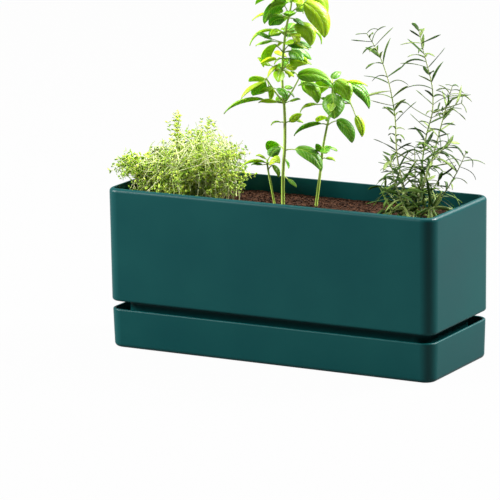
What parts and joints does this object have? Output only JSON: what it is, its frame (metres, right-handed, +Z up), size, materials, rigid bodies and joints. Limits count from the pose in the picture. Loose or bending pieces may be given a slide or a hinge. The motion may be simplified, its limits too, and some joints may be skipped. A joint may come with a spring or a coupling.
{
  "type": "indoor herb planter",
  "caption": "Rectangular plastic herb planter: a pot with a recessed foot standing in a deep drip saucer, planted with thyme, basil and rosemary.",
  "frame": {"origin": "middle of the saucer's flat underside, on the surface that the planter stands on", "axes": "+X along the planter's length to its right end, -Y its front face, +Z up"},
  "size_m": [0.4543, 0.148, 0.4381],
  "materials": {
    "saucer_plastic": "satin moulded plastic, dark teal green",
    "pot_plastic": "satin moulded plastic, dark teal green",
    "soil": null,
    "root_ball": null,
    "thyme_foliage": null,
    "basil_foliage": null,
    "rosemary_foliage": null
  },
  "bodies": {
    "saucer": {"saucer": "saucer_plastic"},
    "pot": {"pot": "pot_plastic", "potting_soil": "soil", "thyme_root_ball": "root_ball", "basil_root_ball": "root_ball", "rosemary_root_ball": "root_ball", "thyme": "thyme_foliage", "basil_main_plant": "basil_foliage", "basil_side_plant": "basil_foliage", "basil_sprout": "basil_foliage", "rosemary": "rosemary_foliage"}
  },
  "joints": [
    {"name": "pot_lift", "type": "slide", "parent": "saucer", "child": "pot", "axis": [0, 0, 1], "range_m": [0, 0.06]}
  ]
}
